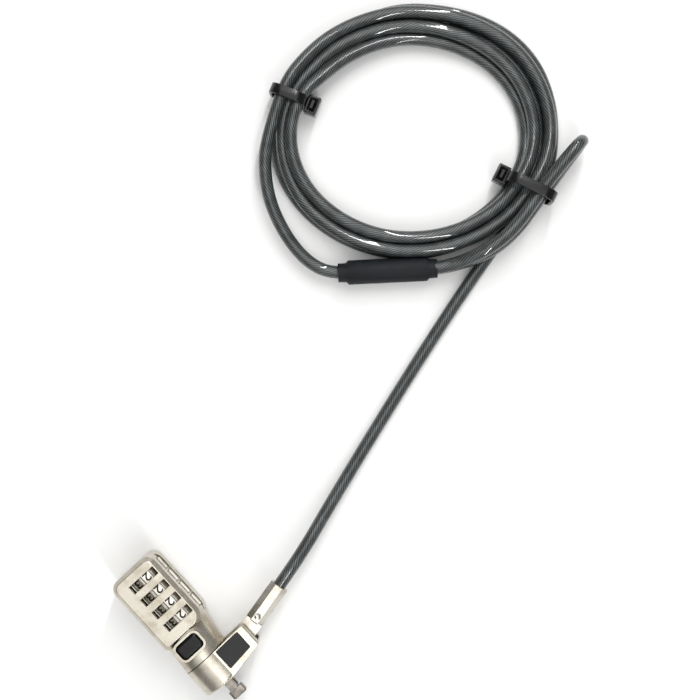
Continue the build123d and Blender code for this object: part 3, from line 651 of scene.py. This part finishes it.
@dataclass
class Coil:
    """The coil's opening and where each of its turns lies in the bundle.

    Stations go round the opening by angle. Each holds one (outward, height) pair in
    millimetres for every turn: the distance outside the opening and the height of the
    cable's middle above the table. The last turn leaves for the crimp, so it ends early.

    Args:
        middle: middle of the opening, in millimetres.
        long_axis: direction of its longer half.
        short_axis: direction of its shorter half.
        opening: its longer and shorter half, in millimetres.
        first_angle: degrees at which the lead joins the coil.
        turns: whole turns.
        last_angle: degrees past them at which the tail leaves.
        step: degrees between two control points.
        start_angle: degrees at which one turn is counted as over and the next begins.
        tie_angles: where the ties' bands lie under the bundle, the first given once more a turn later.
        tie_lift: how far a band raises the bundle, in millimetres.
        tie_reach: degrees from a band at which the bundle is down again.
        stations: place of each turn, by angle.
    """

    middle: Vector = field(default_factory=lambda: Vector((-64.9, 172.8, 0)))
    long_axis: Vector = field(default_factory=lambda: Vector((0.6756, 0.7373, 0)))
    short_axis: Vector = field(default_factory=lambda: Vector((-0.7373, 0.6756, 0)))
    opening: tuple[float, float] = (39.1, 32.6)
    first_angle: float = -11.0
    turns: int = 4
    last_angle: float = 165.0
    step: float = 15.0
    start_angle: float = -26.0
    tie_angles: tuple[float, float, float] = (-26.0, 158.0, 334.0)
    tie_lift: float = 1.05
    tie_reach: float = 45.0
    stations: dict[float, tuple] = field(
        default_factory=lambda: {
            -26: ((11.0, 2.9), (6.4, 2.25), (1.9, 2.25), (3.4, 6.55), (8.0, 6.8)),
            0: ((11.8, 2.25), (7.2, 2.25), (2.6, 2.3), (5.0, 6.2), (10.8, 6.6)),
            45: ((15.3, 2.25), (9.4, 2.25), (3.2, 2.6), (6.3, 6.5), (12.6, 6.1)),
            90: ((13.2, 2.25), (8.2, 2.25), (2.5, 4.4), (6.5, 6.5), (11.5, 6.7)),
            124: ((9.4, 2.25), (4.6, 2.25), (0.6, 6.9), (5.4, 6.65), (9.9, 6.9)),
            142: ((7.5, 2.25), (2.8, 2.25), (-0.1, 8.5), (4.6, 6.35), (8.7, 8.2)),
            158: ((7.6, 2.25), (2.7, 2.25), (2.0, 9.2), (5.1, 6.05), (8.6, 9.35)),
            190: ((7.4, 2.25), (2.7, 2.25), (1.9, 9.25), (5.1, 6.05), (8.4, 9.4)),
            225: ((7.1, 2.25), (2.4, 2.25), (1.9, 8.1), (6.2, 6.6)),
            270: ((7.6, 2.25), (2.9, 2.25), (2.4, 6.8), (7.1, 6.8)),
        }
    )

    def point(self, angle: float, outward: float, height: float) -> Vector:
        """A point of the coil.

        Args:
            angle: degrees round the opening.
            outward: millimetres outside the opening.
            height: millimetres above the table.

        Returns:
            The point in millimetres.
        """
        turn = math.radians(angle)
        along = self.long_axis * ((self.opening[0] + outward) * math.cos(turn))
        across = self.short_axis * ((self.opening[1] + outward) * math.sin(turn))
        return self.middle + along + across + Vector((0, 0, height))

    def place(self, angle: float, turn: int) -> tuple[float, float]:
        """Where one turn lies in the bundle at an angle.

        Args:
            angle: degrees, from the first station to a full turn later.
            turn: number of the turn, from 0.

        Returns:
            Distance outside the opening and height, in millimetres.
        """
        keys = sorted(self.stations)
        for low, high in zip(keys, keys[1:] + [keys[0] + 360]):
            if low <= angle <= high:
                start = self.stations[low][turn]
                closing = high == keys[0] + 360
                end = self.stations[keys[0]][turn + 1] if closing else self.stations[high][turn]
                share = (angle - low) / (high - low)
                share = share * share * (3 - 2 * share)
                return tuple(a + (b - a) * share for a, b in zip(start, end))
        raise ValueError(f"no station at {angle}")

    def lift(self, angle: float) -> float:
        """How far the band under the bundle raises it.

        Args:
            angle: degrees round the opening.

        Returns:
            The rise in millimetres.
        """
        gaps = [abs(angle - tie) for tie in self.tie_angles]
        near = min(gaps)
        return self.tie_lift * math.cos(math.radians(2 * near)) ** 2 if near < self.tie_reach else 0.0

    def route(self) -> list[Vector]:
        """Control points of every turn, in millimetres."""
        points = []
        angle = self.first_angle
        while angle <= self.turns * 360 + self.last_angle:
            turn = int((angle - self.start_angle) // 360)
            within = angle - 360 * turn
            outward, height = self.place(within, turn)
            points.append(self.point(within, outward, height + self.lift(within)))
            angle += self.step
        return points


@dataclass
class SecurityCable:
    """The whole cable: lead, coil, tail, through the crimp, round the eye and back.

    Args:
        coil: the coil's plan.
        diameter: over the jacket, in millimetres.
        sides: faces round the tube.
        lay_mm: length in which a strand goes once round.
        resolution: points of the line between two control points.
        path: points of its line in metres, once it is built.
    """

    coil: Coil
    diameter: float = 4.5
    sides: int = 20
    lay_mm: float = 28.0
    resolution: int = 6
    path: list[Vector] = field(default_factory=list)

    def route(self) -> list[Vector]:
        """Control points of the cable's line, in metres."""
        lead = [Vector(p) for p in LEAD_ROUTE]
        rest = [Vector(p) for p in TAIL_ROUTE + INSIDE_CRIMP + EYE_ROUTE + EYE_END]
        return [point * MM for point in lead + self.coil.route() + rest]

    def line(self) -> list[Vector]:
        """Points read from the route's smooth spline, in metres."""
        points = self.route()
        curve = bpy.data.curves.new("cable_line", "CURVE")
        curve.dimensions = "3D"
        curve.resolution_u = self.resolution
        spline = curve.splines.new("NURBS")
        spline.points.add(len(points) - 1)
        for control, point in zip(spline.points, points):
            control.co = (*point, 1.0)
        spline.order_u = 3
        spline.use_endpoint_u = True
        holder = bpy.data.objects.new("cable_line", curve)
        bpy.context.scene.collection.objects.link(holder)
        bpy.context.view_layer.update()
        mesh = bpy.data.meshes.new_from_object(holder)
        line = [vertex.co.copy() for vertex in mesh.vertices]
        bpy.data.objects.remove(holder)
        bpy.data.meshes.remove(mesh)
        return line

    def frames(self, line: Sequence[Vector]) -> list[tuple[Vector, Vector]]:
        """Two cross directions at each point that turn as little as possible.

        Args:
            line: points along the cable.

        Returns:
            A pair of unit vectors for each point.
        """
        result = []
        heading = (line[1] - line[0]).normalized()
        side = heading.orthogonal().normalized()
        for index, point in enumerate(line):
            before = line[max(index - 1, 0)]
            after = line[min(index + 1, len(line) - 1)]
            now = (after - before).normalized()
            side = heading.rotation_difference(now) @ side
            side = (side - now * side.dot(now)).normalized()
            heading = now
            result.append((side, now.cross(side)))
        return result

    def build(self, finishes: Finishes) -> bpy.types.Object:
        """Args:
            finishes: the lock's finishes.

        Returns:
            The cable.
        """
        line = self.line()
        vertices, rows = [], []
        run = 0.0
        radius = self.diameter / 2 * MM
        for index, (point, (side, up)) in enumerate(zip(line, self.frames(line))):
            run += (point - line[index - 1]).length if index else 0.0
            rows.append(run / (self.lay_mm * MM))
            for step in range(self.sides):
                angle = 2 * math.pi * step / self.sides
                vertices.append(point + side * (radius * math.cos(angle)) + up * (radius * math.sin(angle)))
        faces, laid = [], []
        for row in range(len(line) - 1):
            for step in range(self.sides):
                after = (step + 1) % self.sides
                low, high = row * self.sides, (row + 1) * self.sides
                faces.append((low + step, low + after, high + after, high + step))
                left, right = step / self.sides, (step + 1) / self.sides
                laid += [(left, rows[row]), (right, rows[row]), (right, rows[row + 1]), (left, rows[row + 1])]
        last = (len(line) - 1) * self.sides
        faces.append(tuple(reversed(range(self.sides))))
        faces.append(tuple(range(last, last + self.sides)))
        laid += [(0.0, 0.0)] * (2 * self.sides)
        mesh = bpy.data.meshes.new("security_cable")
        mesh.from_pydata(vertices, [], faces)
        layer = mesh.uv_layers.new(name="lay")
        for loop, place in zip(layer.data, laid):
            loop.uv = place
        cable = bpy.data.objects.new("security_cable", mesh)
        bpy.context.scene.collection.objects.link(cable)
        smooth(cable, 50)
        dress(cable, finishes.jacket)
        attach(cable, "cable")
        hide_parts("cable_lead", "cable_coil", "cable_tail", "cable_eye")
        self.path = line
        LOG.info("security_cable: %.3f m, %d faces", run, len(faces))
        return cable


# ---- crimp and ties ------------------------------------------------------------------------
@dataclass
class CrimpSleeve:
    """Shrunk black sleeve over the eye's crimp, drawn in at both ends.

    Args:
        middle: its middle, in millimetres.
        turn: degrees from +X towards +Y.
        half: half width and half height of the barrel.
        neck: half width and half height of the drawn-in ends.
        barrel: length of its straight part.
        total: length over both necks.
        lip: thickness of its wall at the mouths.
        mouth: depth of the mouths.
        edge: width of its rounded edges.
    """

    middle: Point = (-35.75, 136.35, 4.85)
    turn: float = 50.2
    half: tuple[float, float] = (4.25, 4.85)
    neck: tuple[float, float] = (3.35, 4.7)
    barrel: float = 27.0
    total: float = 34.5
    lip: float = 0.55
    mouth: float = 1.2
    edge: float = 0.18

    def build(self, finishes: Finishes) -> bpy.types.Object:
        """Extrude the sleeve outwards from its barrel and hollow its mouths.

        Args:
            finishes: the lock's finishes.

        Returns:
            The sleeve.
        """
        deselect()
        bpy.ops.mesh.primitive_cylinder_add(vertices=40, radius=1.0, depth=self.barrel)
        sleeve = bpy.context.object
        sleeve.name = "crimp_sleeve"
        sleeve.scale = (self.half[0], self.half[1], 1)
        settle(sleeve)
        reach = (self.total - self.barrel) / 2
        for side in (-1, 1):
            activate(sleeve)
            select_faces(sleeve, lambda polygon, side=side: polygon.normal.z * side > 0.9)
            bpy.ops.object.mode_set(mode="EDIT")
            bpy.ops.mesh.select_mode(type="FACE")
            shrink = (self.neck[0] / self.half[0], self.neck[1] / self.half[1], 1)
            # rise and taper of the shoulder, the cone, its foot, the neck and the rolled rim
            steps = ((0.25, (0.97, 0.98, 1)), (0.55, (shrink[0] / 0.94, shrink[1] / 0.97, 1)),
                     (0.4, (0.97, 0.985, 1)), (reach - 1.6, (0.985, 1.0, 1)), (0.4, (1.035, 1.01, 1)))
            for rise, scale in steps:
                bpy.ops.mesh.extrude_region_move(TRANSFORM_OT_translate={"value": (0, 0, side * rise)})
                bpy.ops.transform.resize(value=scale)
            bpy.ops.mesh.inset(thickness=self.lip)
            bpy.ops.mesh.extrude_region_move(TRANSFORM_OT_translate={"value": (0, 0, -side * self.mouth)})
            bpy.ops.object.mode_set(mode="OBJECT")
        break_edges(sleeve, self.edge, 2, 40)
        apply_modifiers(sleeve)
        self.crinkle(sleeve)
        outward_normals(sleeve)
        heading = Vector((math.cos(math.radians(self.turn)), math.sin(math.radians(self.turn)), 0))
        across = Vector((-heading.y, heading.x, 0))
        turn = Matrix((across, Vector((0, 0, 1)), heading)).transposed().to_4x4()
        sleeve.data.transform(Matrix.Translation(Vector(self.middle) * MM) @ turn @ Matrix.Scale(MM, 4))
        outward_normals(sleeve)
        smooth(sleeve, 40)
        dress(sleeve, finishes.shrink)
        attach(sleeve, "cable")
        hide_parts("crimp_cover")
        LOG.info("crimp_sleeve: %.1f mm long", self.total)
        return sleeve

    def crinkle(self, sleeve: bpy.types.Object) -> None:
        """Press shallow flats and ripples into the sleeve, as shrinking leaves them.

        Args:
            sleeve: the sleeve, its long axis still upright.
        """
        for vertex in sleeve.data.vertices:
            place = vertex.co
            angle = math.atan2(place.y, place.x)
            flats = 0.05 * math.sin(3 * angle + place.z * 0.31)
            ripple = flats + 0.035 * math.sin(5 * angle - place.z * 0.83)
            grow = 1 + min(ripple, 0.0) / max(Vector((place.x, place.y)).length, 0.5)
            place.x *= grow
            place.y *= grow


@dataclass
class CableTie:
    """Nylon tie: band round the bundle, ratchet head inside the ring and a cut tail.

    Args:
        name: name of the piece.
        node: CAD node that it stands for.
        angle: degrees round the coil.
        low: inner side of the hole, millimetres outside the opening.
        high: outer side of the hole.
        top: top of the hole above the table.
        head_z: height of the head's middle.
        width: width of the strap.
        thickness: thickness of the strap.
        corner: radius of the band's corners.
        band_edge: width of the band's broken edges.
        head_in: from the band's inner face to the head's middle.
        head_size: the head's size towards the opening, across and upwards.
        head_edge: width of the head's broken edges.
        tooth_count: teeth on the cut end.
        tooth_up: height of the first tooth above the head's middle.
        tooth_pitch: from one tooth to the next.
        tooth_size: a tooth's thickness, what it is narrower than the strap by, and its height.
    """

    name: str
    node: str
    coil: Coil
    angle: float
    low: float
    high: float
    top: float
    head_z: float = 6.5
    width: float = 3.6
    thickness: float = 1.1
    corner: float = 3.2
    band_edge: float = 0.22
    head_in: float = 1.9
    head_size: Point = (4.4, 6.4, 5.4)
    head_edge: float = 0.7
    tooth_count: int = 4
    tooth_up: float = 1.2
    tooth_pitch: float = 0.75
    tooth_size: Point = (1.3, 0.6, 0.76)

    def build(self, finishes: Finishes) -> bpy.types.Object:
        """Make the band, the head and the tail and join them.

        Args:
            finishes: the lock's finishes.

        Returns:
            The tie.
        """
        tie = join([self.band(), self.head(), self.tail()], self.name)
        outward_normals(tie)
        start = self.coil.point(self.angle, 0, 0)
        outward = (self.coil.point(self.angle, 12, 0) - start).normalized()
        across = Vector((-outward.y, outward.x, 0))
        turn = Matrix((outward, across, Vector((0, 0, 1)))).transposed().to_4x4()
        tie.data.transform(Matrix.Translation(start * MM) @ turn @ Matrix.Scale(MM, 4))
        smooth(tie, 38)
        dress(tie, finishes.nylon)
        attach(tie, "cable")
        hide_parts(self.node)
        LOG.info("%s: at %.0f degrees", self.name, self.angle)
        return tie

    def band(self) -> bpy.types.Object:
        """The strap: a rounded hoop given its thickness, its edges broken.

        Returns:
            Its mesh object.
        """
        deselect()
        tall = self.top - self.thickness
        mid = (self.low + self.high) / 2
        bpy.ops.mesh.primitive_cube_add(size=1, location=(mid, 0, self.thickness + tall / 2))
        hoop = bpy.context.object
        hoop.scale = (self.high - self.low, self.width, tall)
        settle(hoop)
        select_faces(hoop, lambda polygon: abs(polygon.normal.y) > 0.9)
        bpy.ops.object.mode_set(mode="EDIT")
        bpy.ops.mesh.select_mode(type="FACE")
        bpy.ops.mesh.delete(type="ONLY_FACE")
        bpy.ops.mesh.select_mode(type="EDGE")
        bpy.ops.mesh.select_all(action="DESELECT")
        bpy.ops.object.mode_set(mode="OBJECT")
        for edge in hoop.data.edges:
            a, b = (hoop.data.vertices[i].co for i in edge.vertices)
            edge.select = abs(a.y - b.y) > self.width / 2
        bpy.ops.object.mode_set(mode="EDIT")
        bpy.ops.mesh.bevel(offset=self.corner, segments=7, affect="EDGES")
        bpy.ops.object.mode_set(mode="OBJECT")
        wall = hoop.modifiers.new("wall", "SOLIDIFY")
        wall.thickness = self.thickness
        wall.offset = 1.0
        break_edges(hoop, self.band_edge, 2, 60)
        apply_modifiers(hoop)
        return hoop

    def head(self) -> bpy.types.Object:
        """The ratchet head: a chamfered block with its pawl window.

        Returns:
            Its mesh object.
        """
        deselect()
        place = (self.low - self.thickness - self.head_in, 0, self.head_z)
        bpy.ops.mesh.primitive_cube_add(size=1, location=place)
        block = bpy.context.object
        block.scale = self.head_size
        settle(block)
        select_faces(block, lambda polygon: polygon.normal.z > 0.9)
        bpy.ops.object.mode_set(mode="EDIT")
        bpy.ops.mesh.select_mode(type="FACE")
        bpy.ops.mesh.inset(thickness=0.85)
        bpy.ops.mesh.extrude_region_move(TRANSFORM_OT_translate={"value": (0, 0, -1.3)})
        bpy.ops.mesh.inset(thickness=0.3)
        bpy.ops.mesh.extrude_region_move(TRANSFORM_OT_translate={"value": (0, 0, -1.0)})
        bpy.ops.object.mode_set(mode="OBJECT")
        break_edges(block, self.head_edge, 3, 60)
        apply_modifiers(block)
        return block

    def tail(self) -> bpy.types.Object:
        """The cut end of the strap, with a few of its teeth.

        Returns:
            Its mesh object.
        """
        parts = []
        for step in range(self.tooth_count):
            deselect()
            height = self.head_z + self.tooth_up + self.tooth_pitch * step
            place = (self.low - self.thickness - self.head_in, 0, height)
            bpy.ops.mesh.primitive_cube_add(size=1, location=place)
            tooth = bpy.context.object
            tooth.scale = (self.tooth_size[0], self.width - self.tooth_size[1], self.tooth_size[2])
            settle(tooth)
            select_faces(tooth, lambda polygon: polygon.normal.z > 0.9)
            bpy.ops.object.mode_set(mode="EDIT")
            bpy.ops.transform.resize(value=(0.7, 0.96, 1))
            bpy.ops.object.mode_set(mode="OBJECT")
            parts.append(tooth)
        return join(parts, "tail")


# ---- lock head -----------------------------------------------------------------------------
@dataclass
class DialDigits:
    """Painted digits on the ten flats of a dial.

    Args:
        number: which dial, from 1.
        axis_y: place of the dial's axis along Y, in millimetres.
        axis_z: height of the dial's axis, in millimetres.
        flat: distance from the axis to a flat.
        two_at: degrees from +Z towards +Y of the flat that carries the digit 2.
        tall: height of a digit.
        wide: width of a digit.
        one_wide: width of the digit 1, against the others.
        paint: thickness of the paint.
    """

    number: int
    axis_y: float = 3.4
    axis_z: float = 9.2
    flat: float = 6.6
    two_at: float = 13.0
    tall: float = 3.0
    wide: float = 2.35
    one_wide: float = 0.5
    paint: float = 0.03

    def build(self, finishes: Finishes) -> bpy.types.Object:
        """Make the ten digits as one thin mesh that turns with the dial.

        Args:
            finishes: the lock's finishes.

        Returns:
            The digits.
        """
        low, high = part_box(f"dial_{self.number}")
        x = (low.x + high.x) / 2 / MM
        digits = [self.digit(value, x) for value in range(DIGIT_COUNT)]
        piece = join(digits, f"dial_{self.number}_digits")
        dress(piece, finishes.ink)
        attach(piece, f"dial_{self.number}")
        LOG.info("%s", piece.name)
        return piece

    def digit(self, value: int, x: float) -> bpy.types.Object:
        """One digit, its top towards the locking tip, laid on its flat.

        Args:
            value: the digit, 0 to 9.
            x: middle of the dial along the head, in millimetres.

        Returns:
            The digit's mesh object.
        """
        deselect()
        bpy.ops.object.text_add()
        text = bpy.context.object
        text.data.body = str(value)
        text.data.extrude = 0.01
        text.data.offset = 0.012
        text.data.resolution_u = 4
        activate(text)
        bpy.ops.object.convert(target="MESH")
        digit = bpy.context.object
        corners = [vertex.co for vertex in digit.data.vertices]
        low = Vector([min(c[i] for c in corners) for i in range(3)])
        high = Vector([max(c[i] for c in corners) for i in range(3)])
        middle, size = (low + high) / 2, high - low
        wide = self.wide * (self.one_wide if value == 1 else 1.0)
        scale = Matrix.Diagonal((wide / size.x, self.tall / size.y, self.paint / size.z, 1))
        angle = math.radians(self.two_at - 360 / DIGIT_COUNT * (value - 2))
        normal = Vector((0, math.sin(angle), math.cos(angle)))
        up = Vector((1, 0, 0))
        turn = Matrix((up.cross(normal), up, normal)).transposed().to_4x4()
        centre = Vector((x, self.axis_y, self.axis_z)) + normal * (self.flat + self.paint / 2)
        place = Matrix.Scale(MM, 4) @ Matrix.Translation(centre) @ turn @ scale @ Matrix.Translation(-middle)
        digit.data.transform(place)
        return digit


@dataclass
class LockBody:
    """The metal and plastic pieces of the head, collar and ferrule, kept from the frame.

    Args:
        finishes: the lock's finishes.
    """

    finishes: Finishes

    def build(self) -> None:
        """Dress each carried piece in its own finish."""
        chosen = {
            "nickel": ("housing", "back_cover", "collar"),
            "hard_steel": ("t_bar", "nose_guide", "nose_pin", "hinge_pin", "spindle"),
            "zinc_steel": ("cover_screws", "reset_screw"),
            "spring_steel": (
                "detent_spring", "return_spring", "button_spring", "retaining_ring", "cable_end",
            ),
            "ferrule_steel": ("ferrule",),
            "aluminium": ("eye_crimp",),
            "abs_black": ("push_button", "collar_pad"),
        }
        for finish, nodes in chosen.items():
            for node in nodes:
                dress(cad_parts[node], getattr(self.finishes, finish))
                LOG.info("%s: %s", node, finish)
        for number in range(1, DIAL_COUNT + 1):
            dress(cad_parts[f"dial_{number}"], self.finishes.dial_chrome)
            dress(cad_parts[f"code_sleeve_{number}"], self.finishes.brass)


def main() -> None:
    """Build the studio and the lock, in order."""
    logging.basicConfig(level=logging.INFO, format="%(message)s")
    Studio().build()
    finishes = Finishes()
    coil = Coil()
    cable = SecurityCable(coil)
    cable_piece = cable.build(finishes)
    sleeve = CrimpSleeve().build(finishes)
    right_at, left_at, _ = coil.tie_angles
    left = CableTie(
        "tie_left", "cable_tie_left", coil, angle=left_at, low=-0.2, high=11.2, top=13.0
    ).build(finishes)
    right = CableTie(
        "tie_right", "cable_tie_right", coil, angle=right_at, low=-0.2, high=15.8, top=15.6
    ).build(finishes)
    for number in range(1, DIAL_COUNT + 1):
        DialDigits(number).build(finishes)
    LockBody(finishes).build()


if __name__ == "__main__":
    main()
